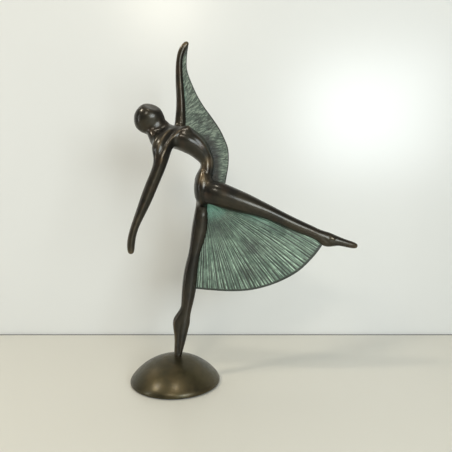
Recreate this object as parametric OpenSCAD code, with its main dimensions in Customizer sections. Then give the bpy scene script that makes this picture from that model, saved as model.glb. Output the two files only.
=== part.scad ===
// Dancer statuette: solid bronze castings doweled and welded together, stood on a domed base.
// The figure faces +X and arches backwards. +Z is up. The origin is the middle of the underside.

/* [Base] */
// Diameter of the domed base
base_d = 120; // [116:1:128]
// Height of the straight band round the dome's rim
rim_h = 3.4; // [2:0.2:4]
// Top of the dome above the table
base_top = 35.4; // [35:0.1:36]
// Diameter of the felt under the base
felt_d = 114; // [100:1:115]
// Thickness of the felt
felt_t = 1.2; // [0.8:0.1:2]
// Diameter of the pocket for the nut
pocket_d = 28; // [24:1:36]
// Top of the pocket above the table
pocket_top = 17; // [15:0.5:20]

/* [Fixing] */
// Diameter of the stud that holds the foot
stud_d = 5; // [4:0.5:5]
// Diameter of the clearance hole through the dome
stud_hole_d = 5.6; // [5.4:0.1:6.5]
// Top of the stud inside the foot
stud_top = 50; // [46:1:54]
// Outer diameter of the plain washer
plain_washer_d = 20; // [14:1:22]
// Thickness of the plain washer
plain_washer_t = 1.4; // [1:0.1:2]
// Outer diameter of the spring washer
spring_washer_d = 9.2; // [8.5:0.1:10]
// Thickness of the spring washer
spring_washer_t = 1.3; // [1:0.1:1.6]
// Width of the nut across its flats
nut_af = 8; // [7:0.5:9]
// Height of the nut
nut_h = 4; // [3:0.5:5]

/* [Dowels] */
// Diameter of the neck dowel
neck_dowel_d = 5; // [4:0.5:6]
// Diameter of the two arm dowels
arm_dowel_d = 4; // [3:0.5:5]
// Diameter of the two leg dowels
leg_dowel_d = 6; // [4:0.5:7]
// Diameter of the pins in the skirt and the wing
pin_d = 1.8; // [1.2:0.1:2]

/* [Drapery] */
// Number of ridges on the skirt
ridges = 40; // [20:1:48]
// Height of a ridge above its groove
ridge_h = 0.9; // [0.4:0.1:1]
// Thickness of the skirt in its grooves
skirt_t = 2.8; // [2.8:0.1:3.4]
// Thickness of the wing where it joins the body
wing_root_t = 4; // [3.6:0.1:4.4]
// Thickness of the wing at its free edge
wing_edge_t = 2; // [1.6:0.1:2.4]

/* [Facets] */
// Sides round the torso and the head
body_sides = 20; // [16:2:24]
// Sides round each limb
limb_sides = 14; // [12:2:18]

/* [Hidden] */
$fn = 64;

// Stations of a casting: [x, y, z, half width across the figure's side view, half depth along Y].
torso_path = [
    [38, 0, 237, 4, 8], [38.5, 0, 243, 9.5, 17], [38.5, 0, 256, 11.5, 21.5], [39, 0, 270, 11, 20.5],
    [42.5, 0, 281, 9, 15.5], [45.3, 0, 289.5, 8.4, 13], [43.5, 0, 297, 9.3, 13.5],
    [39.5, 0, 305, 11.8, 16], [32.5, 0, 314, 14.4, 19.5], [23, 0, 321, 16.4, 22.5],
    [12, 0, 325, 16, 23.5], [1, 0, 326, 14.8, 22], [-9.5, 0, 329, 14.8, 17],
    [-16, -1, 333, 14.6, 12], [-19.3, -1, 336.3, 14.6, 10.5]
];
head_path = [
    [-19.3, -1, 336.3, 14.6, 10.5], [-22.5, -1.5, 339.7, 16, 12], [-26.8, -2, 344.5, 18.6, 14.5],
    [-31.8, -2, 350.7, 20, 16], [-36.8, -2, 355.4, 17.2, 14.5], [-41.2, -2, 359, 11.8, 10.5],
    [-44.5, -2, 361.6, 5.5, 5.5], [-45.5, -2, 362.4, 2, 2]
];
lowered_arm_path = [
    [6, -10, 331, 8, 7], [-2, -17, 328, 13.5, 8.5], [-8, -22, 320, 15.5, 9],
    [-11.5, -24.5, 309, 13, 9], [-11.5, -26, 297, 8.6, 8], [-15, -26.5, 285, 7.7, 7.5],
    [-20, -27, 273, 7.5, 7.2], [-27.5, -28, 255, 7.7, 7], [-35, -28.5, 236, 6.6, 6.2],
    [-43, -29, 218.5, 4.9, 5.2], [-48, -29.5, 204.5, 4.7, 4.6], [-50.3, -30, 192, 5, 4.2],
    [-50.4, -30, 183, 4, 3.5], [-50.3, -30, 178.2, 1.5, 1.5]
];
raised_arm_path = [
    [5, 12, 325, 8, 7], [8, 18.5, 334, 9, 8.5], [9, 21.5, 346, 7.8, 8], [9.2, 22, 356, 6.5, 7],
    [9.4, 22, 368, 5.4, 6], [9.2, 22, 381, 4.9, 5.5], [8, 22, 400, 4.6, 5], [7.4, 22, 419, 3.9, 4.6],
    [8.5, 21.5, 432, 3.8, 4.2], [12, 21, 441, 4.2, 4], [16.5, 20.5, 447, 3, 3], [19.5, 20, 450, 1.2, 1.2]
];
raised_leg_path = [
    [36, -8, 258, 11, 9], [43, -10, 257.5, 15.5, 12], [53, -11.5, 255, 16.3, 13.5],
    [64, -12, 251, 16, 13.5], [78, -12, 246, 14.8, 13], [94, -12, 240.5, 13, 12],
    [108, -12, 235, 10.3, 10.5], [124, -11, 228, 8, 9], [143, -10, 218.5, 7, 8],
    [162, -9, 210, 6.9, 7.8], [178, -8, 204, 6.6, 7], [190, -7, 199.3, 6.6, 6.5],
    [199, -7, 194.6, 8.8, 6.5], [207, -7, 192.5, 8, 6.3], [218, -7, 190, 6, 5.8],
    [229, -7, 187.3, 4, 5], [237.5, -7, 185.3, 2.4, 3.5], [241, -7, 184.7, 0.9, 1.2]
];
standing_leg_path = [
    [38.5, 8, 256, 9, 9], [38, 9, 243, 9, 10.5], [37, 9, 230, 9.2, 10.5], [35, 8.5, 214, 10.3, 10.5],
    [33, 8, 202, 10, 10], [30.5, 7.5, 189, 8.6, 9.2], [28, 7, 177, 7.2, 8.2],
    [24.8, 6.5, 163, 7.6, 8.4], [22.5, 6, 151, 8.8, 9], [20.2, 5, 130, 9.3, 9], [17.7, 4, 111, 8, 8],
    [16, 3, 99, 6.9, 7], [12.6, 2.5, 90, 8.6, 6.8], [9, 2, 81.5, 10.9, 6.8],
    [8.8, 1.5, 72, 9.1, 6.4], [7.5, 1, 57, 7, 5.8], [5.2, 0.5, 45, 6, 5.4], [3.8, 0, 34, 4.8, 5.2],
    [3.6, 0, 28, 4.8, 5]
];
// The station at which each limb is welded to the torso's stub.
lowered_arm_weld = 3;
raised_arm_weld = 2;
raised_leg_weld = 3;
standing_leg_weld = 2;

// The skirt's ridges run straight from its root to its hem, which starts inside the standing
// leg and ends inside the raised heel.
skirt_root = [[40, 8, 240], [50, -10, 244]];
skirt_hem = [
    [19, 4, 127], [48, 3, 124], [78, 1, 123], [106, -1, 126], [136, -3, 135.5], [164, -5, 151.5],
    [185, -6.5, 173.5], [197, -7, 193]
];
skirt_bow = 12;
// Rows of the wing: [inner point, which lies inside the body, outer point on the free edge].
wing_rows = [
    [[17, 20.5, 447], [21.5, 20, 448.5]], [[10.5, 21, 438], [18.5, 20.5, 437]],
    [[7.5, 22, 423], [17.4, 21, 424]], [[7.6, 22, 412], [18.5, 21, 412]],
    [[8.5, 22, 397], [24.5, 21, 396]], [[9.2, 22, 381], [31.5, 20, 381]],
    [[9.2, 22, 367], [40, 19, 367]], [[10, 20, 352], [51, 18, 352]],
    [[15, 17, 338], [61, 16, 337]], [[26, 14, 327], [67.8, 14, 323]],
    [[36, 11, 316], [71.6, 12, 312]], [[43, 9, 303], [72.7, 9, 300]],
    [[47, 6, 290], [72, 5, 288]], [[46, 2, 276], [70, 1, 277]], [[50, -3, 265], [67.8, -4, 265]],
    [[55, -6, 257], [66, -7, 256]]
];

path_steps = 2;    // rings from one station to the next
skirt_rings = 4;   // bands of facets from the skirt's root to its hem
wing_columns = 4;  // bands of facets across the wing
wing_steps = 2;    // rows of facets from one wing row to the next
sphere_r = (pow(base_d / 2, 2) + pow(base_top - felt_t - rim_h, 2)) / (2 * (base_top - felt_t - rim_h));
stud_at = [4, 0];
washer_z = pocket_top - plain_washer_t;
spring_z = washer_z - spring_washer_t;
nut_z = spring_z - nut_h;
stud_bottom = nut_z - 3;
nut_corner_d = nut_af / cos(30);

bronze = [0.27, 0.24, 0.19];
verdigris = [0.42, 0.56, 0.48];
patina = [0.38, 0.45, 0.40];
steel = [0.62, 0.63, 0.65];

neck_dowel_ends = [[-14.5, -1, 331.3], [-24, -1.7, 341.8]];
lowered_arm_dowel_ends = [[-9.5, -23, 317], [-11.6, -25.6, 300]];
raised_arm_dowel_ends = [[8.5, 20, 338], [9.1, 22, 354]];
raised_leg_dowel_ends = [[54, -11.5, 254.6], [74, -12, 247.4]];
standing_leg_dowel_ends = [[38, 9, 240], [35.8, 8.8, 220]];
// Each skirt pin runs between two places on the skirt's middle surface, given as the share of
// the way round the hem and the share of the way out from the root.
skirt_pin_ends = [[0.03, 0.1, 0.45], [0.02, 0.08, 0.8], [0.99, 0.86, 0.45], [0.99, 0.9, 0.75]];
// Each wing pin runs across the wing: [row, share across at one end, share at the other].
wing_pin_ends = [[4.5, 0.12, 0.75], [6.5, 0.08, 0.45], [11, 0.05, 0.5]];

// ---- curves ----
function pick(list, i) = list[max(0, min(len(list) - 1, i))];
function between(p, q, share) = p + (q - p) * share;
// A smooth curve through four values, from the second to the third.
function curve(a, b, c, d, s) =
    0.5 * (2 * b + (c - a) * s + (2 * a - 5 * b + 4 * c - d) * s * s + (3 * b - a - 3 * c + d) * s * s * s);
function on_curve(list, place) =
    let (i = min(len(list) - 2, floor(place)), s = place - i)
    curve(pick(list, i - 1), list[i], list[i + 1], pick(list, i + 2), s);
function refined(list, steps) =
    [for (k = [0 : (len(list) - 1) * steps]) on_curve(list, k / steps)];
function place_of(station) = [station[0], station[1], station[2]];
function unit(v) = v / norm(v);

// ---- rings round a path ----
function ring(path, k, sides) =
    let (
        along = unit(place_of(pick(path, k + 1)) - place_of(pick(path, k - 1))),
        depth = unit([0, 1, 0] - along[1] * along),
        across = cross(depth, along)
    )
    [for (i = [0 : sides - 1])
        let (a = 360 * i / sides)
        place_of(path[k]) + path[k][3] * cos(a) * across + path[k][4] * sin(a) * depth];
function rings(stations, sides) =
    let (path = refined(stations, path_steps))
    [for (k = [0 : len(path) - 1]) ring(path, k, sides)];

// A closed solid through a list of rings that have the same number of points.
module lofted(ring_list) {
    sides = len(ring_list[0]);
    last = len(ring_list) - 1;
    points = [for (r = ring_list) each r];
    walls = [for (k = [0 : last - 1]) for (i = [0 : sides - 1])
        let (j = (i + 1) % sides, a = k * sides + i, b = k * sides + j)
        each [[a, a + sides, b], [b, a + sides, b + sides]]];
    start_cap = [for (i = [0 : sides - 1]) i];
    end_cap = [for (i = [sides - 1 : -1 : 0]) last * sides + i];
    polyhedron(points = points, faces = concat([start_cap], walls, [end_cap]));
}

module limb_whole(stations) {
    lofted(rings(stations, limb_sides));
}

// The part of a limb that is cast with the torso, up to its weld.
module limb_stub(stations, weld) {
    all_rings = rings(stations, limb_sides);
    lofted([for (k = [0 : weld * path_steps]) all_rings[k]]);
}

// The limb's own casting, from its weld to its tip.
module limb_casting(stations, weld) {
    all_rings = rings(stations, limb_sides);
    lofted([for (k = [weld * path_steps : len(all_rings) - 1]) all_rings[k]]);
}

// ---- sheets ----
// A closed plate from a grid of middle points and a grid of half thicknesses along Y.
module plate(middle, half) {
    rows = len(middle);
    columns = len(middle[0]);
    size = rows * columns;
    near = [for (r = [0 : rows - 1]) for (c = [0 : columns - 1]) middle[r][c] - [0, half[r][c], 0]];
    far = [for (r = [0 : rows - 1]) for (c = [0 : columns - 1]) middle[r][c] + [0, half[r][c], 0]];
    sheets = [for (r = [0 : rows - 2]) for (c = [0 : columns - 2])
        let (a = r * columns + c, b = a + 1, d = a + columns, e = d + 1)
        each [[a, b, d], [b, e, d], [size + a, size + d, size + b], [size + b, size + d, size + e]]];
    row_edges = [for (c = [0 : columns - 2])
        let (a = c, b = (rows - 1) * columns + c)
        each [[a, size + a, a + 1], [a + 1, size + a, size + a + 1],
              [b, b + 1, size + b], [b + 1, size + b + 1, size + b]]];
    column_edges = [for (r = [0 : rows - 2])
        let (a = r * columns, b = a + columns - 1)
        each [[a, a + columns, size + a], [a + columns, size + a + columns, size + a],
              [b, size + b, b + columns], [b + columns, size + b, size + b + columns]]];
    polyhedron(points = concat(near, far), faces = concat(sheets, row_edges, column_edges));
}

// The ridges near the raised leg bow up to follow its underside.
function skirt_place(round, out) =
    between(between(skirt_root[0], skirt_root[1], round),
            on_curve(skirt_hem, round * (len(skirt_hem) - 1)), out)
    + [0, 0, skirt_bow * pow(round, 4) * 4 * out * (1 - out)];
function wing_place(row, across) =
    let (
        inner = [for (r = wing_rows) r[0]],
        outer = [for (r = wing_rows) r[1]]
    )
    between(on_curve(inner, row), on_curve(outer, row), across);

module skirt_plate() {
    columns = 2 * ridges;
    middle = [for (r = [0 : skirt_rings]) [for (c = [0 : columns])
        skirt_place(c / columns, r / skirt_rings)]];
    half = [for (r = [0 : skirt_rings]) [for (c = [0 : columns])
        skirt_t / 2 + (c % 2) * ridge_h * min(1, 2 * r / skirt_rings)]];
    plate(middle, half);
}

module wing_plate() {
    last = (len(wing_rows) - 1) * wing_steps;
    middle = [for (r = [0 : last]) [for (c = [0 : wing_columns])
        wing_place(r / wing_steps, c / wing_columns)]];
    half = [for (r = [0 : last]) [for (c = [0 : wing_columns])
        between(wing_root_t, wing_edge_t, c / wing_columns) / 2]];
    plate(middle, half);
}

// ---- fasteners ----
// A round bar from one place to another.
module bar(ends, d) {
    run = ends[1] - ends[0];
    translate(ends[0])
        rotate([0, acos(run[2] / norm(run)), atan2(run[1], run[0])])
            cylinder(h = norm(run), d = d);
}

module stud_bar(d) {
    translate([stud_at[0], stud_at[1], stud_bottom]) cylinder(h = stud_top - stud_bottom, d = d);
}

module neck_dowel_bar() {
    bar(neck_dowel_ends, neck_dowel_d);
}

module arm_dowel_bars() {
    bar(lowered_arm_dowel_ends, arm_dowel_d);
    bar(raised_arm_dowel_ends, arm_dowel_d);
}

module leg_dowel_bars() {
    bar(raised_leg_dowel_ends, leg_dowel_d);
    bar(standing_leg_dowel_ends, leg_dowel_d);
}

module skirt_pin_bars() {
    for (pin = skirt_pin_ends)
        bar([skirt_place(pin[0], pin[2]), skirt_place(pin[1], pin[2])], pin_d);
}

module wing_pin_bars() {
    for (pin = wing_pin_ends)
        bar([wing_place(pin[0], pin[1]), wing_place(pin[0], pin[2])], pin_d);
}

module washer(z, outer_d, t) {
    translate([stud_at[0], stud_at[1], z])
        difference() {
            cylinder(h = t, d = outer_d);
            translate([0, 0, -1]) cylinder(h = t + 2, d = stud_hole_d);
        }
}

// ---- castings ----
module dome_ball() {
    translate([0, 0, base_top - sphere_r]) sphere(r = sphere_r, $fn = 120);
}

module base_dome() {
    color([0.31, 0.27, 0.18])
        difference() {
            intersection() {
                dome_ball();
                translate([0, 0, felt_t]) cylinder(h = base_top, d = base_d, $fn = 120);
            }
            translate([stud_at[0], stud_at[1], 0]) cylinder(h = pocket_top, d = pocket_d);
            translate([stud_at[0], stud_at[1], 0]) cylinder(h = base_top + 1, d = stud_hole_d);
        }
}

module felt_disc() {
    color([0.10, 0.16, 0.12]) cylinder(h = felt_t, d = felt_d, $fn = 120);
}

module base_stud() {
    color(steel) stud_bar(stud_d);
}

module plain_washer() {
    color(steel) washer(washer_z, plain_washer_d, plain_washer_t);
}

module spring_washer() {
    color(steel) washer(spring_z, spring_washer_d, spring_washer_t);
}

module hex_nut() {
    color(steel)
        translate([stud_at[0], stud_at[1], nut_z])
            difference() {
                cylinder(h = nut_h, d = nut_corner_d, $fn = 6);
                translate([0, 0, -1]) cylinder(h = nut_h + 2, d = stud_d);
            }
}

// The toe is dressed to the dome, so it is cut by the dome's own ball.
module standing_leg() {
    color(bronze)
        difference() {
            limb_casting(standing_leg_path, standing_leg_weld);
            dome_ball();
            stud_bar(stud_d);
            leg_dowel_bars();
            skirt_pin_bars();
        }
}

module raised_leg() {
    color(bronze)
        difference() {
            limb_casting(raised_leg_path, raised_leg_weld);
            leg_dowel_bars();
            skirt_pin_bars();
        }
}

module torso_whole() {
    lofted(rings(torso_path, body_sides));
    limb_stub(lowered_arm_path, lowered_arm_weld);
    limb_stub(raised_arm_path, raised_arm_weld);
    limb_stub(raised_leg_path, raised_leg_weld);
    limb_stub(standing_leg_path, standing_leg_weld);
}

module torso() {
    color(bronze)
        difference() {
            torso_whole();
            neck_dowel_bar();
            arm_dowel_bars();
            leg_dowel_bars();
            wing_pin_bars();
        }
}

module head() {
    color(bronze)
        difference() {
            lofted(rings(head_path, body_sides));
            neck_dowel_bar();
        }
}

module lowered_arm() {
    color(bronze)
        difference() {
            limb_casting(lowered_arm_path, lowered_arm_weld);
            arm_dowel_bars();
        }
}

module raised_arm() {
    color(bronze)
        difference() {
            limb_casting(raised_arm_path, raised_arm_weld);
            arm_dowel_bars();
            wing_pin_bars();
        }
}

module skirt_fan() {
    color(verdigris)
        difference() {
            skirt_plate();
            torso_whole();
            limb_whole(raised_leg_path);
            limb_whole(standing_leg_path);
            skirt_pin_bars();
        }
}

module wing_fan() {
    color(patina)
        difference() {
            wing_plate();
            torso_whole();
            limb_whole(raised_arm_path);
            limb_whole(raised_leg_path);
            wing_pin_bars();
        }
}

module neck_dowel() {
    color(steel) neck_dowel_bar();
}

module arm_dowels() {
    color(steel) arm_dowel_bars();
}

module leg_dowels() {
    color(steel) leg_dowel_bars();
}

module skirt_pins() {
    color(steel) skirt_pin_bars();
}

module wing_pins() {
    color(steel) wing_pin_bars();
}

base_dome();
felt_disc();
base_stud();
plain_washer();
spring_washer();
hex_nut();
standing_leg();
raised_leg();
torso();
head();
lowered_arm();
raised_arm();
skirt_fan();
wing_fan();
neck_dowel();
arm_dowels();
leg_dowels();
skirt_pins();
wing_pins();
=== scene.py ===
"""Looks for a bronze statuette: a dancer on one toe, arched back, with a ribbed fan of drapery between
the legs and a scratched wing of drapery from the raised hand to the thigh.

The figure is built up in wax, as a founder would: tubes for the limbs, pressed into one skin, smoothed
where they meet, and then cut at the welds into the castings. The castings' figures are in millimetres,
and those of the room, the camera, the lights and the finishes are in metres.
"""

import math
import random

import bmesh
import bpy
import numpy as np
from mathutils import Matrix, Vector


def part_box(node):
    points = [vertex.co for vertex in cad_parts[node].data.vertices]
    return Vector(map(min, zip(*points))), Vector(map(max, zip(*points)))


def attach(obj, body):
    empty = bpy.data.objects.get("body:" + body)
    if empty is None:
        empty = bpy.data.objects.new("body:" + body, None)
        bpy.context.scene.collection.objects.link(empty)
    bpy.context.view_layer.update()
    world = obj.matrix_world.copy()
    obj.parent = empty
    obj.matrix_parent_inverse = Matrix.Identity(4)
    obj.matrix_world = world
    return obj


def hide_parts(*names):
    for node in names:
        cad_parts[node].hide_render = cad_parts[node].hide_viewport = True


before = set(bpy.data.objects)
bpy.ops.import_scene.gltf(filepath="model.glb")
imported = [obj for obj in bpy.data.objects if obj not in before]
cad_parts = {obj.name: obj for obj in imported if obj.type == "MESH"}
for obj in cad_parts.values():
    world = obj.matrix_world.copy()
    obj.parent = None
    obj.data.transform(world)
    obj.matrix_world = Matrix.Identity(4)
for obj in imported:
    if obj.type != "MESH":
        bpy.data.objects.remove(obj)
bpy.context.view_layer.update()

MM = 0.001


# ---- the camera, the room and the light ----


def add_camera():
    downward = 6.2
    data = bpy.data.cameras.new("camera")
    data.sensor_width = 36
    data.lens = 39.8
    camera = bpy.data.objects.new("camera", data)
    camera.location = (0.0686, -0.652, 0.2818)
    camera.rotation_euler = (math.radians(90 - downward), 0, 0)
    bpy.context.scene.collection.objects.link(camera)
    bpy.context.scene.camera = camera


def add_light(name, place, target, size, power, colour):
    """A soft panel light. The camera doesn't see it, but the bronze does."""
    data = bpy.data.lights.new(name, "AREA")
    data.shape = "RECTANGLE"
    data.size, data.size_y = size
    data.energy = power
    data.color = colour
    light = bpy.data.objects.new(name, data)
    light.location = place
    light.visible_camera = False
    light.rotation_euler = (Vector(target) - Vector(place)).to_track_quat("-Z", "Y").to_euler()
    bpy.context.scene.collection.objects.link(light)


def add_world():
    world = bpy.data.worlds.new("room")
    world.use_nodes = True
    background = world.node_tree.nodes["Background"]
    background.inputs["Color"].default_value = (0.93, 0.95, 1.0, 1)
    background.inputs["Strength"].default_value = 0.20
    bpy.context.scene.world = world
    bpy.context.scene.view_settings.view_transform = "Standard"


def wipe_selection():
    if bpy.context.object and bpy.context.object.mode != "OBJECT":
        bpy.ops.object.mode_set(mode="OBJECT")
    bpy.ops.object.select_all(action="DESELECT")


def pick(piece):
    wipe_selection()
    piece.select_set(True)
    bpy.context.view_layer.objects.active = piece


def add_room():
    """A pale table top, a pale wall close behind the figure, and a dark strip of painted shadow in the gap
    between them.
    """
    wall_y, gap, sunk = 0.193, 0.0035, 0.0001
    half = 3.0
    table_paint = stage_finish("table_paint", (0.67, 0.66, 0.59, 1), 0.35, False)
    wall_paint = stage_finish("wall_paint", (0.75, 0.76, 0.735, 1), 0.27, True)
    gap_shadow = stage_finish("gap_shadow", (0.05, 0.045, 0.04, 1), 0.8, False)
    for name, low_y, high_y, finish in (
        ("table_front", -half, wall_y - gap, table_paint),
        # A narrow strip painted with the dark colour of the shadow in the gap between the table and the wall.
        ("table_gap", wall_y - gap, wall_y, gap_shadow),
        ("table_back", wall_y, half, table_paint),
    ):
        wipe_selection()
        bpy.ops.mesh.primitive_plane_add(size=1, enter_editmode=True)
        bpy.ops.transform.resize(value=(2 * half, high_y - low_y, 1), center_override=(0, 0, 0))
        bpy.ops.transform.translate(value=(0, (low_y + high_y) / 2, -sunk))
        bpy.ops.object.mode_set(mode="OBJECT")
        strip = bpy.context.object
        strip.name = name
        strip.data.materials.append(finish)
    wipe_selection()
    bpy.ops.mesh.primitive_plane_add(size=half, location=(0, wall_y, half / 2), rotation=(math.pi / 2, 0, 0))
    wall = bpy.context.object
    wall.name = "back_wall"
    bpy.ops.object.transform_apply(location=True, rotation=True, scale=True)
    wall.data.materials.append(wall_paint)


def stage_finish(name, colour, roughness, one_sided):
    """Plain paint. A one-sided surface can't be seen from behind."""
    material = bpy.data.materials.new(name)
    material.use_nodes = True
    nodes, links = material.node_tree.nodes, material.node_tree.links
    paint = nodes["Principled BSDF"]
    paint.inputs["Base Color"].default_value = colour
    paint.inputs["Roughness"].default_value = roughness
    if one_sided:
        clear = nodes.new("ShaderNodeBsdfTransparent")
        sides = nodes.new("ShaderNodeNewGeometry")
        mix = nodes.new("ShaderNodeMixShader")
        links.new(sides.outputs["Backfacing"], mix.inputs["Fac"])
        links.new(paint.outputs["BSDF"], mix.inputs[1])
        links.new(clear.outputs["BSDF"], mix.inputs[2])
        links.new(mix.outputs["Shader"], nodes["Material Output"].inputs["Surface"])
    return material


# ---- curves and rings ----


def smooth_curve(points, places):
    """Points on a smooth curve through a list of points, at places counted in points along the list."""
    points = np.array(points, float)
    last = len(points) - 1
    places = np.clip(places, 0, last)
    start = np.minimum(np.floor(places).astype(int), last - 1)
    share = (places - start)[..., None]
    a, b = points[np.maximum(start - 1, 0)], points[start]
    c, d = points[start + 1], points[np.minimum(start + 2, last)]
    return 0.5 * (
        2 * b + (c - a) * share + (2 * a - 5 * b + 4 * c - d) * share**2 + (3 * b - a - 3 * c + d) * share**3
    )


def turn_ring(angle, centre):
    """Turns the selection about an axis along Y. With no window the operator turns the other way."""
    bpy.ops.transform.rotate(value=-angle, orient_axis="Y", orient_type="GLOBAL", center_override=centre)


def lean_of(stations, index):
    """The angle from straight up, towards +X, of a limb's run at one of its stations."""
    before = stations[max(index - 1, 0)]
    after = stations[min(index + 1, len(stations) - 1)]
    return math.atan2(after[0] - before[0], after[2] - before[2])


LIMB_SIDES, LIMB_LEVELS = 24, 2


def raise_ridges(limb, ridges):
    """Lifts a ring's outline at some angles, so that a soft ridge runs the whole length of the limb.
    Each ridge is (angle, height as a share of the radius, width of its shoulders in degrees)."""
    crest_share, crest_width, shoulder_share = 0.55, 11, 0.45
    bm = bmesh.from_edit_mesh(limb.data)
    bm.verts.ensure_lookup_table()
    for index in range(len(bm.verts)):
        bpy.ops.mesh.select_all(action="DESELECT")
        vertex = bm.verts[index]
        vertex.select = True
        angle = math.degrees(math.atan2(vertex.co.y, vertex.co.x))
        factor = 1.0
        for ridge_angle, height, width in ridges:
            away = (angle - ridge_angle + 180) % 360 - 180
            crest = crest_share * math.exp(-((away / crest_width) ** 2))
            shoulder = shoulder_share * math.exp(-((away / width) ** 2))
            factor += height * (crest + shoulder)
        bm.select_flush(True)
        bpy.ops.transform.resize(value=(factor, factor, 1), center_override=(0, 0, 0))


def wax_limb(name, stations, ridges=()):
    """A closed limb, drawn out ring by ring through stations [x, y, z, half width, half depth]."""
    wipe_selection()
    bpy.ops.mesh.primitive_circle_add(
        vertices=LIMB_SIDES, radius=1, fill_type="NGON", enter_editmode=True, location=(0, 0, 0)
    )
    limb = bpy.context.object
    limb.name = name
    raise_ridges(limb, ridges)
    bpy.ops.mesh.select_all(action="SELECT")
    x, y, z, width, depth = [value * MM for value in stations[0]]
    lean = lean_of(stations, 0)
    bpy.ops.transform.resize(value=(width, depth, 1), center_override=(0, 0, 0))
    turn_ring(lean, (0, 0, 0))
    bpy.ops.transform.translate(value=(x, y, z))
    for index in range(1, len(stations)):
        centre = Vector((x, y, z))
        bpy.ops.mesh.extrude_region_move()
        turn_ring(-lean, centre)
        new_x, new_y, new_z, new_width, new_depth = [value * MM for value in stations[index]]
        bpy.ops.transform.resize(value=(new_width / width, new_depth / depth, 1), center_override=centre)
        lean = lean_of(stations, index)
        turn_ring(lean, centre)
        bpy.ops.transform.translate(value=Vector((new_x, new_y, new_z)) - centre)
        x, y, z, width, depth = new_x, new_y, new_z, new_width, new_depth
    bpy.ops.mesh.select_all(action="SELECT")
    bpy.ops.mesh.normals_make_consistent(inside=False)
    bpy.ops.object.mode_set(mode="OBJECT")
    smooth = limb.modifiers.new("smooth", "SUBSURF")
    smooth.levels = smooth.render_levels = LIMB_LEVELS
    bpy.ops.object.modifier_apply(modifier=smooth.name)
    return limb


# ---- the figure ----

TORSO = [
    [38, 0, 236, 4, 8],
    [38.2, 0, 243, 9.8, 17],
    [38, 0, 256, 12.3, 21.5],
    [38.4, 0, 270, 11.9, 20.5],
    [41.8, 0, 281, 9.5, 15.5],
    [44.7, 0, 289.3, 8.9, 13],
    [43.2, 0, 296.6, 9.9, 13.5],
    [39.1, 0, 304.4, 12.6, 16],
    [32.2, 0, 313.3, 15.2, 19.5],
    [22.8, 0, 320.4, 17.1, 22.5],
    [12, 0, 324.5, 16.5, 23.5],
    [1, 0, 326, 14.8, 22],
    [-9.5, 0, 329, 14.8, 17],
    [-15.4, -1, 333.8, 15.2, 11.5],
    [-18.6, -1, 337.1, 14.8, 10.5],
    [-24, -1.5, 341, 13.4, 10.5],
]
HEAD = [
    [-14, -0.5, 331, 11.5, 8.5],
    [-19.3, -1, 336.3, 13.8, 10],
    [-22, -1.5, 340.3, 16.3, 12],
    [-26.3, -2, 345, 19.3, 14.5],
    [-31.8, -2, 350.7, 20.4, 16],
    [-36.8, -2, 355.4, 18, 14.8],
    [-41.2, -2, 359, 12.8, 11],
    [-44.2, -2, 361.4, 6.6, 6],
]
LOWERED_ARM = [
    [11, -7, 327, 6, 5],
    [4, -13, 327, 11, 7.5],
    [-2.5, -18, 324, 13, 8.5],
    [-9.5, -21.5, 318, 15, 9],
    [-12, -24.5, 309, 12.8, 9],
    [-11.8, -26, 297, 9, 8],
    [-15.4, -26.5, 285, 7.9, 7.5],
    [-20.6, -27, 273, 7.7, 7.2],
    [-28.3, -28, 255, 7.8, 7],
    [-35.9, -28.5, 236, 6.7, 6.2],
    [-43.9, -29, 218.5, 5.1, 5.2],
    [-48.9, -29.5, 204.5, 4.9, 4.6],
    [-51.1, -30, 192, 5.2, 4.2],
    [-51.2, -30, 182.3, 4.5, 3.8],
    [-51.1, -30, 178.3, 2.8, 2.2],
]
RAISED_ARM = [
    [5, 12, 325, 8, 7],
    [8, 18.5, 334, 9, 8.5],
    [8.7, 21.5, 346, 8.2, 8],
    [8.8, 22, 356, 7.1, 7],
    [8.9, 22, 368, 6.1, 6.2],
    [8.6, 22, 381, 5.6, 5.8],
    [7.3, 22, 400, 5.3, 5.3],
    [6.9, 22, 419, 4.6, 4.9],
    [8.2, 21.5, 432, 4.4, 4.5],
    [11.8, 21, 441, 4.7, 4.2],
    [16.6, 20.5, 447.3, 3.7, 3.3],
    [19.6, 20.2, 449.6, 2.3, 2.1],
]
RAISED_LEG = [
    [36, -8, 258, 11, 9],
    [43, -10, 257.5, 15.5, 12],
    [53, -11.5, 255, 16.3, 13.5],
    [64, -12, 251, 16, 13.5],
    [78, -12, 246, 14.8, 13],
    [94.2, -12, 240.8, 13.3, 12],
    [108.3, -12, 235.7, 11, 10.8],
    [124.6, -11, 229.4, 9.3, 9.3],
    [143.6, -10, 220.1, 8.5, 8.6],
    [162.5, -9, 211.3, 8.2, 8.2],
    [178.4, -8, 204.9, 7.6, 7.4],
    [189.5, -7, 199.6, 7.2, 6.8],
    [199, -7, 193.9, 10.6, 6.8],
    [207.3, -7, 192.6, 8.4, 6.4],
    [215.4, -7, 191.9, 5.8, 5.9],
    [223.5, -7, 189.3, 5, 5.3],
    [231.6, -7, 187.2, 4.8, 4.6],
    [237.6, -7, 185.7, 3.8, 3.4],
    [240.3, -7, 184.9, 2.2, 2.0],
]
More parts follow.
